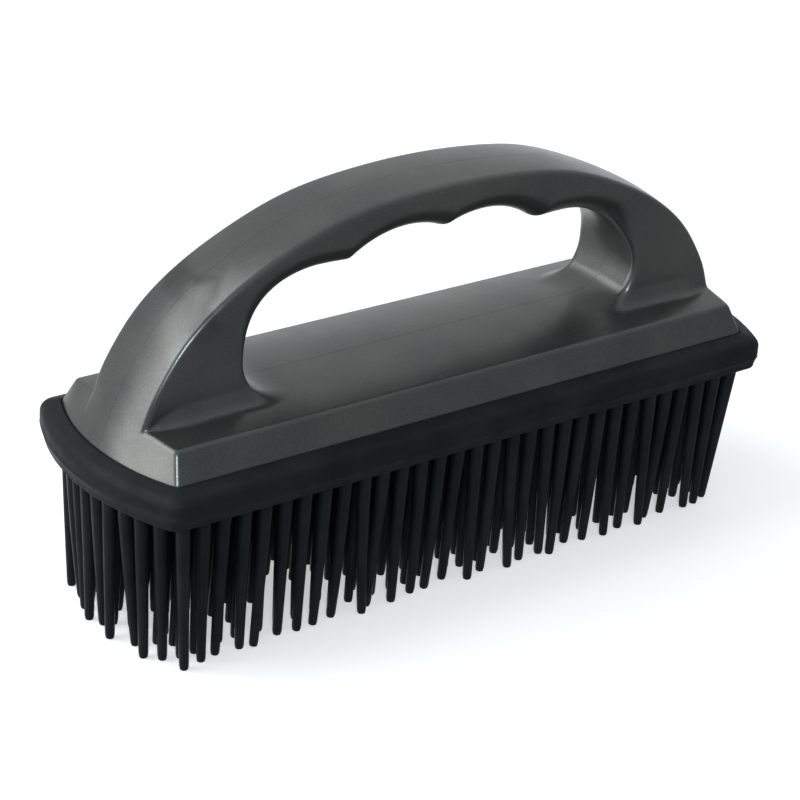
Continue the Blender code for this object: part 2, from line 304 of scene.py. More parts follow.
# the handle and the pad are shaped in millimetres, with the lip at height 0
handleShape = {
    "cell": 0.43,  # mesh spacing
    "settleRounds": 6,
    "blockHalfWidth": -shellLow.y / mm,
    "blockEnd": shellHigh.x / mm,
    "endBulge": 4.8,
    "blockHeight": 5.74,
    "crown": 1.99,
    "crownLoss": 0.5,  # share of the crown lost towards the ends
    "crownFade": (58.0, 73.0),  # from the middle, where it is lost
    "sideDraft": 2.96,
    "endDraft": 2.58,
    "endHollow": (0.13, 9.5),  # how fast the end wall sinks beside a leg, and where
    "blockEdge": 0.6,  # radius on the block's edges and corners
    "depth": (lip - shellLow.z) / mm,  # how far the block goes down inside the rubber
    "archHalf": 71.7,
    "archRise": 38.5,
    "archPower": 2.03,
    "archShoulder": (0.5, 30.0, 13.0),  # how much fuller it is over each shoulder, where, and how widely
    "flare": 3.0,  # the legs spread into the block's ends
    "flareHeight": 15.0,
    "footSlope": 0.44,
    "halfWidth": 9.75,
    "faceCrown": (0.7, 1.55, 0.9, 0.55),  # roundness of the outer face at the lip, crease, shoulder and top
    "faceCrownFrom": (0.0, 5.0, 34.0),  # heights where it starts to change into the next
    "faceCrownTo": (7.5, 13.0, 44.2),
    "flush": (4.0, 3.0, 13.0),  # the legs leave the end wall: how far, and between which heights
    "outerEdge": (1.0, 1.5),  # edge radius at the foot and at the top
    "outerEdgeHeights": (20.0, 44.0),
    "innerEdge": (1.5, 7.0),
    "innerEdgeHeights": (16.0, 31.0),
    "fillet": (0.4, 3.4),  # radius round the legs at the ends and at the middle
    "filletFade": (63.0, 75.0),
    "filletRun": 2.5,  # depth under a leg's outer face at which the fillet is whole
    "openingFoot": -1.15,  # angle in radians at which the opening's side ovals stop, inside the block
    "sideCentre": (31.0, 16.0),  # of the ovals that end the opening, with their reach out, up and down
    "sideReach": 19.1,
    "sideUp": 14.4,
    "sideDown": 13.2,
    "outerGroove": 35.0,  # run of the outer finger grooves
    "grooveCentre": (9.6, 9.5),  # of the circles that shape the two middle ones
    "grooveRadius": 25.2,
    "cuspSoftness": 0.7,
    "seam": 0.045,  # half the width of the parting line
    "seamDepth": 0.03,
    "boreRadius": 1.75,
    "boreTop": 3.5,
}


def softMax(first, second, softness):
    mixing = np.clip(0.5 + 0.5 * (first - second) / softness, 0, 1)
    return second + (first - second) * mixing + softness * mixing * (1 - mixing)


def softStep(value, low, high):
    along = np.clip((value - low) / (high - low), 0, 1)
    return along * along * (3 - 2 * along)


def between(first, second, share):
    return first + (second - first) * share


def roundedMeeting(first, second, radius):
    # both solids' common part, its edge rounded
    over = np.hypot(np.maximum(first + radius, 0), np.maximum(second + radius, 0))
    return np.minimum(np.maximum(first, second), -radius) + over


def filletedUnion(first, second, radius):
    under = np.hypot(np.maximum(radius - first, 0), np.maximum(radius - second, 0))
    return np.maximum(np.minimum(first, second), radius) - under


def archOutline(shape):
    angles = np.linspace(0, math.pi / 2, 90)
    x = shape["archHalf"] * np.cos(angles) ** (2 / shape["archPower"])
    rise = shape["archRise"] * np.sin(angles) ** (2 / shape["archPower"])
    fuller, shoulder, spread = shape["archShoulder"]
    rise = rise + fuller * np.exp(-(((x - shoulder) / spread) ** 2))
    x = x + shape["flare"] * np.maximum(0, 1 - rise / shape["flareHeight"]) ** 2
    foot = np.linspace(-4, shape["blockHeight"], 24)[:-1]  # runs on down inside the rubber
    footX = x[0] + shape["footSlope"] * (shape["blockHeight"] - np.maximum(foot, 0))
    right = np.column_stack((np.concatenate((footX, x)), np.concatenate((foot, rise + shape["blockHeight"]))))
    return np.vstack((right, right[:-1][::-1] * (-1, 1)))


def openingOutline(shape):
    centreX, centreZ = shape["sideCentre"]
    angles = np.linspace(shape["openingFoot"], math.pi / 2, 60)
    up = np.where(angles > 0, shape["sideUp"], shape["sideDown"])
    side = np.column_stack((centreX + shape["sideReach"] * np.cos(angles), centreZ + up * np.sin(angles)))
    x = np.linspace(centreX, -centreX, 260)[1:-1]
    grooveX, grooveZ = shape["grooveCentre"]
    radius = shape["grooveRadius"]
    crests = [grooveZ + np.sqrt(np.maximum(radius**2 - (x - way * grooveX) ** 2, 0)) for way in (-1, 1)]
    outer = centreZ + shape["sideUp"] * np.sqrt(1 - ((centreX - np.abs(x)) / shape["outerGroove"]) ** 2)
    top = softMax(softMax(crests[0], crests[1], shape["cuspSoftness"]), outer, shape["cuspSoftness"])
    return np.vstack((side, np.column_stack((x, top)), (side * (-1, 1))[::-1]))


class DistanceMap:
    # signed distance to a closed outline in side view, negative inside, read from a fine grid

    def __init__(self, outline, step=0.25, reach=(84.0, 50.0), floor=-4.0):
        self.step, self.floor = step, floor
        xs = np.arange(0, reach[0], step)
        zs = np.arange(floor, reach[1], step)
        gridX, gridZ = np.meshgrid(xs, zs, indexing="ij")
        points = np.column_stack((gridX.ravel(), gridZ.ravel()))
        start, end = outline, np.roll(outline, -1, axis=0)
        run = end - start
        lengths = np.maximum((run**2).sum(axis=1), 1e-12)
        nearest = np.full(len(points), 1e9)
        inside = np.zeros(len(points), bool)
        for (ax, az), (_, bz), (rx, rz), length in zip(start, end, run, lengths):
            px, pz = points[:, 0] - ax, points[:, 1] - az
            along = np.clip((px * rx + pz * rz) / length, 0, 1)
            nearest = np.minimum(nearest, (px - along * rx) ** 2 + (pz - along * rz) ** 2)
            if az != bz:
                crosses = (az > points[:, 1]) != (bz > points[:, 1])
                inside ^= crosses & (px < pz * rx / rz)
        signed = np.sqrt(nearest) * np.where(inside, -1, 1)
        self.grid = signed.reshape(gridX.shape)

    def __call__(self, x, z):
        across = np.clip(np.abs(x) / self.step, 0, self.grid.shape[0] - 1.001)
        up = np.clip((z - self.floor) / self.step, 0, self.grid.shape[1] - 1.001)
        i, j = across.astype(int), up.astype(int)
        s, t = across - i, up - j
        low = self.grid[i, j] * (1 - s) + self.grid[i + 1, j] * s
        high = self.grid[i, j + 1] * (1 - s) + self.grid[i + 1, j + 1] * s
        return low * (1 - t) + high * t


class HandleField:
    # distance to the handle's surface, negative inside it

    def __init__(self, shape, screwPlaces):
        self.shape = shape
        self.screwPlaces = screwPlaces
        self.outer = DistanceMap(archOutline(shape))
        self.opening = DistanceMap(openingOutline(shape))
        half, bulge = shape["blockHalfWidth"], shape["endBulge"]
        self.endRadius = (half**2 + bulge**2) / (2 * bulge)
        self.endCentre = shape["blockEnd"] - self.endRadius

    def endWall(self, x, y, z):
        shape = self.shape
        lean = shape["endDraft"] / shape["blockHeight"]
        up = np.clip(z, 0, shape["blockHeight"] + 3)
        sink, deepest = shape["endHollow"]
        aside = np.abs(y) / deepest
        sink = sink * up * aside**2 * softStep(-aside, -1.95, -0.6)
        reach = np.hypot(np.abs(x) - self.endCentre, y)
        return (reach - (self.endRadius - lean * up - sink)) / math.hypot(1, lean)

    def block(self, end, x, y, z):
        shape = self.shape
        height = shape["blockHeight"]
        lean = shape["sideDraft"] / height
        halfWidth = shape["blockHalfWidth"] - lean * np.clip(z, 0, height + 3)
        side = (np.abs(y) - halfWidth) / math.hypot(1, lean)
        ridge = shape["blockHalfWidth"] - shape["sideDraft"]
        crown = shape["crown"] * (1 - shape["crownLoss"] * softStep(np.abs(x), *shape["crownFade"]))
        slope = 2 * crown * np.minimum(np.abs(y), ridge) / ridge**2
        top = (z - height - crown * (1 - (y / ridge) ** 2)) / np.sqrt(1 + slope**2)
        edge = shape["blockEdge"]
        over = np.sqrt(sum(np.maximum(part + edge, 0) ** 2 for part in (side, end, top)))
        return np.minimum(np.maximum(np.maximum(side, end), top), -edge) + over

    def face(self, x, y, z):
        shape = self.shape
        crowns = shape["faceCrown"]
        crown = crowns[0]
        for before, after, low, high in zip(crowns, crowns[1:], shape["faceCrownFrom"], shape["faceCrownTo"]):
            crown = crown + (after - before) * softStep(z, low, high)
        return self.outer(x, z) + crown * (y / shape["halfWidth"]) ** 2

    def arch(self, face, x, y, z):
        shape = self.shape
        side = np.abs(y) - shape["halfWidth"]
        outerEdge = between(*shape["outerEdge"], softStep(z, *shape["outerEdgeHeights"]))
        innerEdge = between(*shape["innerEdge"], softStep(z, *shape["innerEdgeHeights"]))
        body = roundedMeeting(face, side, outerEdge)
        return roundedMeeting(body, -self.opening(x, z), innerEdge)

    def __call__(self, points):
        x, y, z = points.T
        shape = self.shape
        end = self.endWall(x, y, z)
        away, low, high = shape["flush"]
        face = np.maximum(self.face(x, y, z), end - away * softStep(z, low, high))
        arch = self.arch(face, x, y, z)
        block = self.block(end, x, y, z)
        fillet = between(*shape["fillet"], 1 - softStep(np.abs(x), *shape["filletFade"]))
        fillet = fillet * np.clip(-face / shape["filletRun"], 0.0, 1.0) + 0.02
        solid = filletedUnion(block, arch, fillet)
        solid = np.maximum(solid, -(z + shape["depth"]))
        for boreX, boreY in self.screwPlaces:
            bore = np.maximum(np.hypot(x - boreX, y - boreY) - shape["boreRadius"], z - shape["boreTop"])
            solid = np.maximum(solid, -bore)
        return solid


def surfaceNet(field, low, high, cell):
    # quads over the field's zero surface, one point in each cell that it crosses
    axes = [np.arange(a, b + cell, cell) for a, b in zip(low, high)]
    counts = [len(axis) for axis in axes]
    values = np.empty(counts)
    for i, x in enumerate(axes[0]):
        gridY, gridZ = np.meshgrid(axes[1], axes[2], indexing="ij")
        sheet = np.column_stack((np.full(gridY.size, x), gridY.ravel(), gridZ.ravel()))
        values[i] = field(sheet).reshape(gridY.shape)
    inside = values < 0
    cells = np.array([count - 1 for count in counts])
    total = np.zeros((int(cells.prod()), 3))
    hits = np.zeros(int(cells.prod()))
    found = []
    for axis in range(3):
        first = [slice(None)] * 3
        second = [slice(None)] * 3
        first[axis], second[axis] = slice(0, -1), slice(1, None)
        crossing = np.argwhere(inside[tuple(first)] != inside[tuple(second)])
        a = values[tuple(first)][tuple(crossing.T)]
        b = values[tuple(second)][tuple(crossing.T)]
        where = crossing.astype(float)
        where[:, axis] += a / (a - b)
        others = [k for k in range(3) if k != axis]
        ring = []
        valid = np.ones(len(crossing), bool)
        for stepA, stepB in ((0, 0), (-1, 0), (-1, -1), (0, -1)):
            home = crossing.copy()
            home[:, others[0]] += stepA
            home[:, others[1]] += stepB
            valid &= ((home >= 0) & (home < cells)).all(axis=1)
            ring.append(home)
        ids = [np.ravel_multi_index(home[valid].T, cells) for home in ring]
        for index in ids:
            np.add.at(total, index, where[valid])
            np.add.at(hits, index, 1)
        quads = np.column_stack(ids)
        flip = (a[valid] < 0) != (axis == 1)
        quads[~flip] = quads[~flip][:, ::-1]
        found.append(quads)
    quads = np.vstack(found)
    used, quads = np.unique(quads, return_inverse=True)
    points = total[used] / hits[used][:, None] * cell + np.array([axis[0] for axis in axes])
    return points, quads.reshape(-1, 4)


def settleOnSurface(field, points, quads, rounds, fixedBelow):
    # spreads the points evenly and pulls them onto the surface
    edges = np.unique(np.sort(np.vstack([quads[:, [k, (k + 1) % 4]] for k in range(4)]), axis=1), axis=0)
    neighbours = np.zeros(len(points))
    for end in (0, 1):
        np.add.at(neighbours, edges[:, end], 1)
    free = points[:, 2] > fixedBelow
    for turn in range(rounds + 1):
        nudge = 0.02
        gradient = np.column_stack([
            (field(points + nudge * unit) - field(points - nudge * unit)) / (2 * nudge)
            for unit in np.eye(3)
        ])
        size = np.maximum((gradient**2).sum(axis=1), 0.09)
        step = field(points) / size
        points = points - np.clip(step, -0.3, 0.3)[:, None] * gradient
        if turn == rounds:
            break
        middle = np.zeros_like(points)
        for here, there in ((0, 1), (1, 0)):
            np.add.at(middle, edges[:, here], points[edges[:, there]])
        pull = middle / neighbours[:, None] - points
        unit = gradient / np.sqrt(size)[:, None]
        pull -= (pull * unit).sum(axis=1)[:, None] * unit
        points[free] += 0.5 * pull[free]
    return points


def partingCut(mesh, shape):
    # cuts the front half out at the middle plane and closes it with a narrow chamfer
    seam, depth = shape["seam"] * mm, shape["seamDepth"] * mm
    work = bmesh.new()
    work.from_mesh(mesh)
    bmesh.ops.bisect_plane(
        work, geom=work.verts[:] + work.edges[:] + work.faces[:], dist=1e-6,
        plane_co=(0, -seam, 0), plane_no=(0, 1, 0), clear_outer=True,
    )
    rim = [edge for edge in work.edges if edge.is_boundary]
    normals = {vert: vert.normal.copy() for edge in rim for vert in edge.verts}
    grown = bmesh.ops.extrude_edge_only(work, edges=rim)["geom"]
    newVerts = [item for item in grown if isinstance(item, bmesh.types.BMVert)]
    byPlace = {tuple(round(c, 8) for c in vert.co): normal for vert, normal in normals.items()}
    for vert in newVerts:
        normal = byPlace[tuple(round(c, 8) for c in vert.co)]
        inward = Vector((-normal.x, 0, -normal.z))
        vert.co += inward.normalized() * depth if inward.length > 1e-6 else Vector()
        vert.co.y += seam * 0.8
    for edge in rim:
        edge.smooth = False
    newRim = [edge for edge in work.edges if edge.is_boundary]
    for edge in newRim:
        edge.smooth = False
    bmesh.ops.triangle_fill(work, edges=newRim, use_beauty=True, normal=(0, 1, 0))
    bmesh.ops.recalc_face_normals(work, faces=work.faces)
    for face in work.faces:
        face.smooth = True
    print("parting cut leaves", sum(not edge.is_manifold for edge in work.edges), "open edges")
    work.to_mesh(mesh)
    work.free()


def meshFrom(name, points, quads):
    mesh = bpy.data.meshes.new(name)
    mesh.from_pydata(points.tolist(), [], quads.tolist())
    mesh.update()
    mesh.shade_smooth()
    return mesh


def addPiece(name, mesh, material):
    mesh.materials.clear()
    mesh.materials.append(material)
    piece = bpy.data.objects.new(name, mesh)
    bpy.context.scene.collection.objects.link(piece)
    return piece


def handleHalves(shape):
    screwPlaces = []
    for name in sorted(frame["nodes"]):
        if name.startswith("screw_"):
            low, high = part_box(name)
            screwPlaces.append(((low.x + high.x) / 2 / mm, (low.y + high.y) / 2 / mm))
    field = HandleField(shape, screwPlaces)
    cell = shape["cell"]
    low = (-shape["blockEnd"] - 2 * cell, -shape["blockHalfWidth"] - 2 * cell, -shape["depth"] - 2 * cell)
    high = (shape["blockEnd"] + 2 * cell, 3 * cell, (shellHigh.z - lip) / mm + 1.5)
    points, quads = surfaceNet(field, low, high, cell)
    points = settleOnSurface(field, points, quads, shape["settleRounds"], -shape["depth"] + 0.3)
    points = points * mm + np.array([0, 0, lip])
    front = meshFrom("handleFront", points, quads)
    partingCut(front, shape)
    rear = front.copy()
    rear.name = "handleRear"
    rear.transform(Matrix.Scale(-1, 4, (0, 1, 0)))
    rear.flip_normals()
    for name, mesh, node in (
        ("handleFront", front, "handle_front_shell"),
        ("handleRear", rear, "handle_rear_shell"),
    ):
        piece = addPiece(name, mesh, graphite)
        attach(piece, "brush")
        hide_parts(node)
    print("handle halves made,", len(front.polygons), "faces each")


handleHalves(handleShape)


padShape = {
    "corner": 0.95,  # plan radius of the block's corners, at the lip
    "rimOut": 4.3,  # how far the rim stands out from the block
    "plateRoom": 0.3,  # clearance round the plate in its groove
    "lipGap": 0.16,
    "lipCurl": ((0.0, -0.18), (0.06, -0.05), (0.18, 0.0)),  # how the lip turns over, out and up
    "shoulder": 2.2,
    "shoulderArc": (74, 3, 9),  # its first and last angle in degrees, and its steps
    "topSlope": 0.5,  # the rim's top falls this much on its way out
    "sideTop": (0.02, -3.6),  # where the rim's side starts
    "mouldLine": -4.95,  # height of the parting line round the rim
    "mouldRidge": ((0.0, 0.16), (0.06, 0.06), (0.06, -0.06), (-0.04, -0.17)),  # its section, out and up
    "taper": 0.55,
    "lowerEdge": 0.45,
    "lowerEdgeStart": (0.06, 0.5),
    "cornerGrowth": 0.6,  # how fast the plan radius grows on the way out
    "endSteps": 26,
    "cornerSteps": 10,
    "sideSteps": 60,
}


def padOutline(shape, out):
    # the block's plan moved outwards by out, in millimetres, as points in order round it
    half, end, bulge = (handleShape[key] for key in ("blockHalfWidth", "blockEnd", "endBulge"))
    radius = (half**2 + bulge**2) / (2 * bulge)
    centre = end - radius
    corner = max(0.3, shape["corner"] + shape["cornerGrowth"] * out)
    halfWidth, endRadius = half + out, radius + out
    cornerY = halfWidth - corner
    cornerX = centre + math.sqrt((endRadius - corner) ** 2 - cornerY**2)
    turn = math.atan2(cornerY, cornerX - centre)
    quarter = []
    for angle in np.linspace(0, turn, shape["endSteps"]):
        quarter.append((centre + endRadius * math.cos(angle), endRadius * math.sin(angle)))
    for angle in np.linspace(turn, math.pi / 2, shape["cornerSteps"])[1:]:
        quarter.append((cornerX + corner * math.cos(angle), cornerY + corner * math.sin(angle)))
    for x in np.linspace(cornerX, 0, shape["sideSteps"] // 2 + 1)[1:-1]:
        quarter.append((x, halfWidth))
    upper = quarter + [(0, halfWidth)] + [(-x, y) for x, y in reversed(quarter)]
    lower = [(x, -y) for x, y in reversed(upper[1:-1])]
    return upper + lower


def padProfile(shape):
    # (out, height) from the inside of the plate's groove, over the lip and down the rim to the underside
    plateTop, plateBottom = (plateHigh.z - lip) / mm, (plateLow.z - lip) / mm
    room = shape["plateRoom"]
    groove = plateHigh.y / mm - handleShape["blockHalfWidth"] + room
    bottom = (padLow.z - lip) / mm
    gap, out, shoulder = shape["lipGap"], shape["rimOut"], shape["shoulder"]
    profile = [(groove, plateBottom - room), (groove, plateTop + room), (gap, plateTop + room)]
    profile += [(gap + across, up) for across, up in shape["lipCurl"]]
    fall, run = shape["topSlope"], out - shoulder - gap
    profile += [(gap + share * run, -fall * share**2) for share in (0.25, 0.5, 0.75)]
    for angle in np.radians(np.linspace(*shape["shoulderArc"])):
        place = out - shoulder + shoulder * math.cos(angle)
        profile.append((place, -fall - shoulder + shoulder * math.sin(angle)))
    across, up = shape["sideTop"]
    profile.append((out + across, up))
    profile += [(out + across, shape["mouldLine"] + up) for across, up in shape["mouldRidge"]]
    edge, foot = shape["lowerEdge"], out - shape["taper"]
    across, up = shape["lowerEdgeStart"]
    profile.append((foot + across, bottom + edge + up))
    for angle in np.radians(np.linspace(0, -90, 5)):
        profile.append((foot - edge + edge * math.cos(angle), bottom + edge + edge * math.sin(angle)))
    return profile


def rubberPad(shape):
    profile = padProfile(shape)
    rings = [padOutline(shape, out) for out, _ in profile]
    size = len(rings[0])
    work = bmesh.new()
    levels = []
    for (out, height), ring in zip(profile, rings):
        levels.append([work.verts.new((x * mm, y * mm, lip + height * mm)) for x, y in ring])
    for below, above in zip(levels, levels[1:]):
        for i in range(size):
            work.faces.new((below[i], below[(i + 1) % size], above[(i + 1) % size], above[i]))
    for level in (levels[0], levels[-1]):
        work.faces.new(level)
    bmesh.ops.recalc_face_normals(work, faces=work.faces)
    mesh = bpy.data.meshes.new("rubberPad")
    work.to_mesh(mesh)
    work.free()
    mesh.shade_smooth()
    mesh.set_sharp_from_angle(angle=math.radians(50))
    pad = addPiece("rubberPad", mesh, padRubber)
    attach(pad, "brush")
    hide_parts("rubber_pad")
    print("rubber pad made,", len(mesh.polygons), "faces")


rubberPad(padShape)


bristleShape = {
    "rowEnd": 34.99 * mm,  # centre of the arc on which the rows end
    "endArc": 42.0 * mm,
    "pitch": 4.68 * mm,
    "rootRadius": 1.5 * mm,
    "tipRadius": 0.97 * mm,
    "sides": 8,
    "rings": 7,
    "bow": (  # where along its length a bristle's rings lie
        (0.0, 0.0), (0.17, 0.045), (0.34, 0.27), (0.5, 0.52), (0.67, 0.77), (0.84, 0.985), (1.0, 1.0),
    ),
    "rootFlare": (1.0, 0.70),  # width at the rubber and just under it
    "rootShare": 0.66,  # width under the flare, where rootRadius is measured
    "tipRound": 0.86,  # the last ring's share of tipRadius
    "capFacing": -0.75,  # faces that look further down than this are the flat tips
    "buried": 0.25 * mm,  # start of each bristle inside the rubber
    "lean": 0.026,  # sideways reach at the tip, as a share of the length
    "curl": 0.026,
    "drift": -0.022,  # all of them lean a little the same way
    "endLean": 0.065,  # those at a row's ends lean inwards
    "endZone": 9.0 * mm,
    "tipUneven": 0.45 * mm,
    "hold": 11.8 * mm,  # length from the root over which a bristle bends
    "seed": 40,
}


class TreeBench:
    # short ways to lay and wire Geometry Nodes

    def __init__(self, name):
        self.tree = bpy.data.node_groups.new(name, "GeometryNodeTree")
        self.tree.is_modifier = True
        self.tree.interface.new_socket("Geometry", in_out="INPUT", socket_type="NodeSocketGeometry")
        self.tree.interface.new_socket("Geometry", in_out="OUTPUT", socket_type="NodeSocketGeometry")
        self.start = self.tree.nodes.new("NodeGroupInput")
        self.end = self.tree.nodes.new("NodeGroupOutput")
        self.identifiers = {}

    def addInput(self, name, kind, value=None):
        socket = self.tree.interface.new_socket(name, in_out="INPUT", socket_type=kind)
        if value is not None:
            socket.default_value = value
        self.identifiers[name] = socket.identifier

    def given(self, name):
        return self.start.outputs[name]

    def node(self, kind, settings=None, **inputs):
        node = self.tree.nodes.new(kind)
        for key, value in (settings or {}).items():
            setattr(node, key, value)
        for key, value in inputs.items():
            self.feed(node, key.replace("_", " "), value)
        return node

    def feed(self, node, name, value):
        socket = name if not isinstance(name, str) else next(
            item for item in node.inputs if item.name == name and item.enabled)
        if isinstance(value, bpy.types.NodeSocket):
            self.tree.links.new(value, socket)
        else:
            socket.default_value = value

    def math(self, operation, first, second=0.0):
        node = self.tree.nodes.new("ShaderNodeMath")
        node.operation = operation
        self.feed(node, node.inputs[0], first)
        self.feed(node, node.inputs[1], second)
        return node.outputs[0]

    def product(self, first, *others):
        for other in others:
            first = self.math("MULTIPLY", first, other)
        return first

    def vector(self, x=0.0, y=0.0, z=0.0):
        node = self.tree.nodes.new("ShaderNodeCombineXYZ")
        for socket, value in zip(node.inputs, (x, y, z)):
            self.feed(node, socket, value)
        return node.outputs[0]

    def scaled(self, vector, factor):
        node = self.tree.nodes.new("ShaderNodeVectorMath")
        node.operation = "SCALE"
        self.feed(node, node.inputs[0], vector)
        self.feed(node, node.inputs["Scale"], factor)
        return node.outputs[0]

    def level(self, vector):
        node = self.node("ShaderNodeVectorMath", {"operation": "MULTIPLY"})
        self.feed(node, node.inputs[0], vector)
        self.feed(node, node.inputs[1], (1, 1, 0))
        return node.outputs[0]

    def part(self, vector, letter):
        node = self.tree.nodes.new("ShaderNodeSeparateXYZ")
        self.feed(node, node.inputs[0], vector)
        return node.outputs[letter]

    def sum(self, *vectors):
        total = vectors[0]
        for vector in vectors[1:]:
            node = self.tree.nodes.new("ShaderNodeVectorMath")
            self.feed(node, node.inputs[0], total)
            self.feed(node, node.inputs[1], vector)
            total = node.outputs[0]
        return total

    def curve(self, factor, points):
        node = self.tree.nodes.new("ShaderNodeFloatCurve")
        line = node.mapping.curves[0]
        for place, value in points[1:-1]:
            line.points.new(place, value)
        for point, (place, value) in zip(line.points, points):
            point.location = (place, value)
            point.handle_type = "VECTOR"
        node.mapping.update()
        self.feed(node, "Value", factor)
        return node.outputs[0]

    def random(self, low, high, seed):
        node = self.node("FunctionNodeRandomValue", {"data_type": "FLOAT_VECTOR"})
        spots = [item for item in node.inputs if item.enabled]
        spots[0].default_value = low
        spots[1].default_value = high
        self.feed(node, "Seed", seed)
        return next(item for item in node.outputs if item.enabled)

    def keep(self, geometry, name, value):
        node = self.node(
            "GeometryNodeStoreNamedAttribute", {"data_type": "FLOAT_VECTOR", "domain": "POINT"},
            Geometry=geometry, Name=name, Value=value,
        )
        return node.outputs[0]

    def kept(self, name):
        node = self.node("GeometryNodeInputNamedAttribute", {"data_type": "FLOAT_VECTOR"}, Name=name)
        return next(item for item in node.outputs if item.enabled)


def rowOfStalks(bench, shape):
    # bare curves hanging from the row's root line, each with its own random lean and curl
    given = bench.given
    half, length = given("Half Length"), given("Length")
    start = bench.vector(bench.math("MULTIPLY", half, -1.0), given("Row Place"), given("Root Height"))
    finish = bench.vector(half, given("Row Place"), given("Root Height"))
    row = bench.node("GeometryNodeMeshLine", {"mode": "END_POINTS"}, Count=given("Count"))
    bench.feed(row, "Start Location", start)
    bench.feed(row, row.inputs["Offset"], finish)
    spots = bench.keep(row.outputs[0], "lean", bench.random((-1, -1, -1), (1, 1, 1), given("Seed")))
    secondSeed = bench.math("ADD", given("Seed"), 500.0)
    spots = bench.keep(spots, "curl", bench.random((-1, -1, -1), (1, 1, 1), secondSeed))
    stalk = bench.node("GeometryNodeCurvePrimitiveLine", Start=(0, 0, 0))
    bench.feed(stalk, "End", bench.vector(z=bench.math("MULTIPLY", length, -1.0)))
    stalk = bench.node("GeometryNodeResampleCurve", Curve=stalk.outputs[0], Count=shape["rings"]).outputs[0]
    rows = bench.node("GeometryNodeInstanceOnPoints", Points=spots, Instance=stalk).outputs[0]
    return bench.node("GeometryNodeRealizeInstances", Geometry=rows).outputs[0]


def swayedStalks(bench, shape, stalks, factor):
    # lean, curl and drift grow towards the tips, and the row's ends lean inwards
    given = bench.given
    half, length = given("Half Length"), given("Length")
    along = bench.curve(factor, shape["bow"])
    bend = bench.product(along, along, length)
    reach = bench.product(along, length)
    down = bench.product(bench.math("SUBTRACT", factor, along), length)
    rowX = bench.part(bench.node("GeometryNodeInputPosition").outputs[0], "X")
    zoneStart = bench.math("SUBTRACT", half, given("End Zone"))
    pastZone = bench.math("SUBTRACT", bench.math("ABSOLUTE", rowX), zoneStart)
    nearEnd = bench.math("MAXIMUM", bench.math("DIVIDE", pastZone, given("End Zone")), 0.0)
    inward = bench.product(bench.math("SIGN", rowX), bench.product(nearEnd, given("End Lean")))
    steady = bench.vector(x=bench.math("SUBTRACT", given("Drift"), inward))
    uneven = bench.math("ABSOLUTE", bench.part(bench.kept("curl"), "Z"))
    lift = bench.product(uneven, given("Tip Uneven"), along)
    offset = bench.sum(
        bench.scaled(bench.level(bench.kept("lean")), bench.product(reach, given("Lean"))),
        bench.scaled(bench.level(bench.kept("curl")), bench.product(bend, given("Curl"))),
        bench.scaled(steady, reach),
        bench.vector(z=bench.math("ADD", down, lift)),
    )
    return bench.node("GeometryNodeSetPosition", Geometry=stalks, Offset=offset).outputs[0]


def bristleSkin(bench, shape, stalks, factor):
    given = bench.given
    atRubber, underIt = shape["rootFlare"]
    width = bench.curve(factor, (
        (0.0, atRubber), (0.02, underIt), (0.045, shape["rootShare"]), (0.985, 0.0), (1.0, 0.0),
    ))
    taper = bench.math("SUBTRACT", given("Root Radius"), given("Tip Radius"))
    taper = bench.math("ADD", given("Tip Radius"), bench.product(width, taper))
    tipRound = bench.curve(factor, ((0.0, 1.0), (0.984, 1.0), (1.0, shape["tipRound"])))
    outline = bench.node("GeometryNodeCurvePrimitiveCircle", Resolution=shape["sides"], Radius=1.0).outputs[0]
    solid = bench.node("GeometryNodeCurveToMesh", Curve=stalks, Profile_Curve=outline)
    bench.feed(solid, "Scale", bench.product(taper, tipRound))
    bench.feed(solid, "Fill Caps", True)
    smooth = bench.node("GeometryNodeSetShadeSmooth", Geometry=solid.outputs[0]).outputs[0]
    facing = bench.part(bench.node("GeometryNodeInputNormal").outputs[0], "Z")
    cap = bench.math("LESS_THAN", facing, shape["capFacing"])
    flatTips = bench.node("GeometryNodeSetShadeSmooth", Geometry=smooth, Selection=cap, Shade_Smooth=False)
    return flatTips.outputs[0]


def bristleTree(shape):
    bench = TreeBench("bristleRow")
    bench.addInput("Count", "NodeSocketInt", 32)
    for name in ("Half Length", "Row Place", "Root Height", "Length", "Root Radius", "Tip Radius"):
        bench.addInput(name, "NodeSocketFloat", 0.01)
    for name in ("Lean", "Curl", "Drift", "End Lean", "End Zone", "Tip Uneven"):
        bench.addInput(name, "NodeSocketFloat", 0.01)
    bench.addInput("Seed", "NodeSocketInt", 1)
    bench.addInput("Material", "NodeSocketMaterial")

    stalks = rowOfStalks(bench, shape)
    factor = bench.node("GeometryNodeSplineParameter").outputs["Factor"]
    stalks = swayedStalks(bench, shape, stalks, factor)
    skin = bristleSkin(bench, shape, stalks, factor)
    whole = bench.node("GeometryNodeRealizeInstances", Geometry=skin).outputs[0]
    dressed = bench.node("GeometryNodeSetMaterial", Geometry=whole)
    bench.feed(dressed, "Material", bench.given("Material"))
    bench.tree.links.new(dressed.outputs[0], bench.end.inputs["Geometry"])
    return bench


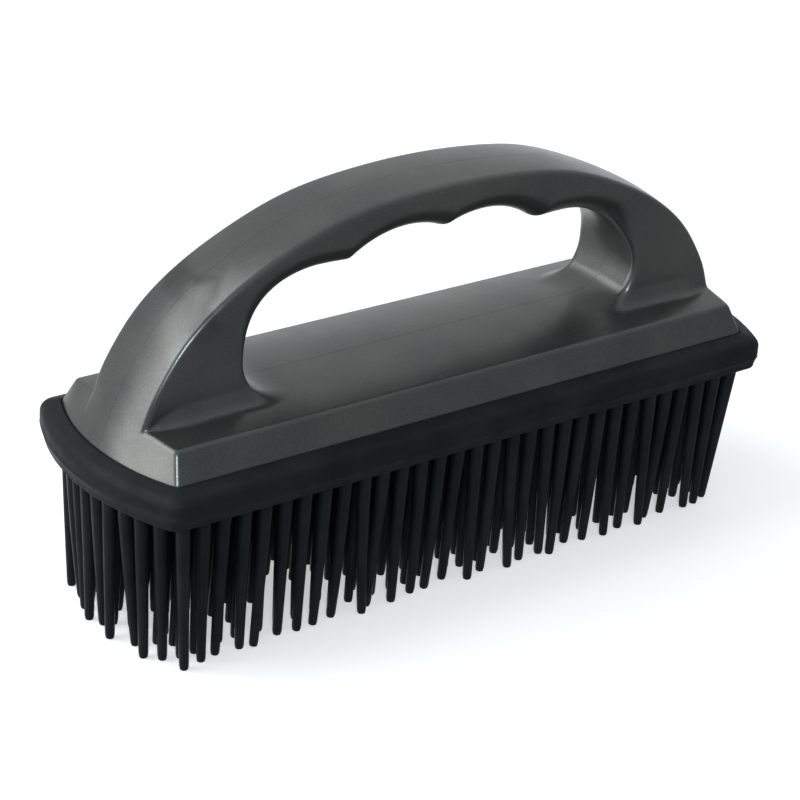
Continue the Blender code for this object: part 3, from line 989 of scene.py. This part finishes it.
def bristleRows(shape):
    bench = bristleTree(shape)
    flare = (shape["rootRadius"] - shape["tipRadius"]) / shape["rootShare"]
    bodies = sorted(body for body in hinges if body.startswith("bristles_"))
    faces = 0
    for number, body in enumerate(bodies, 1):
        place = Vector(hinges[body]["pos_m"])
        half = shape["rowEnd"] + math.sqrt(shape["endArc"] ** 2 - place.y**2)
        host = bpy.data.objects.new("rowHost", bpy.data.meshes.new("rowHost"))
        bpy.context.scene.collection.objects.link(host)
        modifier = host.modifiers.new("Bristles", "NODES")
        modifier.node_group = bench.tree
        sizes = {
            "Count": round(2 * half / shape["pitch"]) + 1,
            "Half Length": half,
            "Row Place": place.y,
            "Root Height": place.z + shape["buried"],
            "Length": place.z + shape["buried"],
            "Root Radius": shape["tipRadius"] + flare,
            "Tip Radius": shape["tipRadius"],
            "Lean": shape["lean"],
            "Curl": shape["curl"],
            "Drift": shape["drift"],
            "End Lean": shape["endLean"],
            "End Zone": shape["endZone"],
            "Tip Uneven": shape["tipUneven"],
            "Seed": shape["seed"] + number,
            "Material": bristleRubber,
        }
        for name, value in sizes.items():
            modifier[bench.identifiers[name]] = value
        host.update_tag()
        graph = bpy.context.evaluated_depsgraph_get()
        mesh = bpy.data.meshes.new_from_object(host.evaluated_get(graph))
        bpy.data.objects.remove(host)
        for attribute in ("lean", "curl"):
            if attribute in mesh.attributes:
                mesh.attributes.remove(mesh.attributes[attribute])
        piece = addPiece(f"bristleRow{number:02d}", mesh, bristleRubber)
        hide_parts(f"bristle_row_{number:02d}")
        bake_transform(piece)
        faces += len(mesh.polygons)
    print("bristle rows made,", faces, "faces")


bristleRows(bristleShape)


studio = {
    "worldColour": (0.96, 0.985, 1.0),
    "brightSide": (-0.25, 0.85, 0.45),  # the half of the room that glows
    "brightEdge": (-0.5, 0.6),  # cosines between which the dark half turns into the bright one
    "brightStrength": 0.56,
    "darkStrength": 0.27,
    "lowSide": (0.45, 0.75, -0.50),  # the pale table's glow, from behind the brush
    "lowEdge": (0.6, 1.0),
    "lowStrength": 0.55,
    "floorSize": 6.0,
    "floorColour": (0.86, 0.86, 0.86),
    "floorUneven": 0.985,  # share of that colour left in the paper's darker clouds
    "floorRoughness": 0.8,
    "floorGlow": 0.48,
}

studioLights = {
    "keyLight": {
        "direction": (-0.55, 0.45, 0.80),  # from the brush towards the light
        "distance": 1.3,
        "size": 1.0,
        "power": 5.5,
    },
    "sideLight": {
        "direction": (-0.92, 0.28, 0.28),
        "distance": 1.1,
        "size": 0.9,
        "power": 4.2,
    },
    "frontLight": {
        "direction": (-0.50, -0.72, 0.46),
        "distance": 1.5,
        "size": 0.36,  # small, for the highlights along the edges
        "power": 7.5,
        "colour": (0.74, 0.88, 1.0),
    },
}


def addAreaLight(name, direction, distance, size, power, colour=(1, 1, 1)):
    data = bpy.data.lights.new(name, "AREA")
    data.shape = "DISK"
    data.size = size
    data.energy = power
    data.color = colour
    light = bpy.data.objects.new(name, data)
    bpy.context.scene.collection.objects.link(light)
    towards = Vector(direction).normalized()
    light.location = Vector((0, 0, lip)) + towards * distance
    light.rotation_euler = towards.to_track_quat("Z", "Y").to_euler()


def addWorld(setup):
    world = bpy.data.worlds.new("studio")
    bpy.context.scene.world = world
    world.use_nodes = True
    tree = world.node_tree
    background = tree.nodes["Background"]
    background.inputs["Color"].default_value = (*setup["worldColour"], 1)
    direction = tree.nodes.new("ShaderNodeTexCoord").outputs["Generated"]
    total = tree.nodes.new("ShaderNodeMath")
    glows = (
        ("brightSide", *setup["brightEdge"], setup["darkStrength"], setup["brightStrength"]),
        ("lowSide", *setup["lowEdge"], 0.0, setup["lowStrength"]),
    )
    for (side, low, high, dark, bright), share in zip(glows, total.inputs):
        facing = tree.nodes.new("ShaderNodeVectorMath")
        facing.operation = "DOT_PRODUCT"
        facing.inputs[1].default_value = Vector(setup[side]).normalized()
        tree.links.new(direction, facing.inputs[0])
        glow = tree.nodes.new("ShaderNodeMapRange")
        glow.interpolation_type = "SMOOTHSTEP"
        for name, value in zip(("From Min", "From Max", "To Min", "To Max"), (low, high, dark, bright)):
            glow.inputs[name].default_value = value
        tree.links.new(facing.outputs["Value"], glow.inputs["Value"])
        tree.links.new(glow.outputs["Result"], share)
    tree.links.new(total.outputs["Value"], background.inputs["Strength"])


def addFloor(setup):
    side = setup["floorSize"] / 2
    corners = [(-side, -side, 0), (side, -side, 0), (side, side, 0), (-side, side, 0)]
    mesh = bpy.data.meshes.new("floor")
    mesh.from_pydata(corners, [], [(0, 1, 2, 3)])
    paper = newMaterial("palePaper", specular=0.2)
    bench = NodeBench(paper)
    tone = tuple(channel * setup["floorUneven"] for channel in setup["floorColour"])
    bench.link(bench.mix(bench.noise(3.0), tone, setup["floorColour"]), bench.shader.inputs["Base Color"])
    bench.shader.inputs["Roughness"].default_value = setup["floorRoughness"]
    bench.shader.inputs["Emission Color"].default_value = (1, 1, 1, 1)
    bench.shader.inputs["Emission Strength"].default_value = setup["floorGlow"]
    floor = addPiece("floor", mesh, paper)
    floor.visible_diffuse = floor.visible_glossy = False  # its glow neither lights the brush nor shows in it


addWorld(studio)
for name, setup in studioLights.items():
    addAreaLight(name, **setup)
addFloor(studio)
bpy.context.scene.view_settings.view_transform = "Standard"
print("studio made")
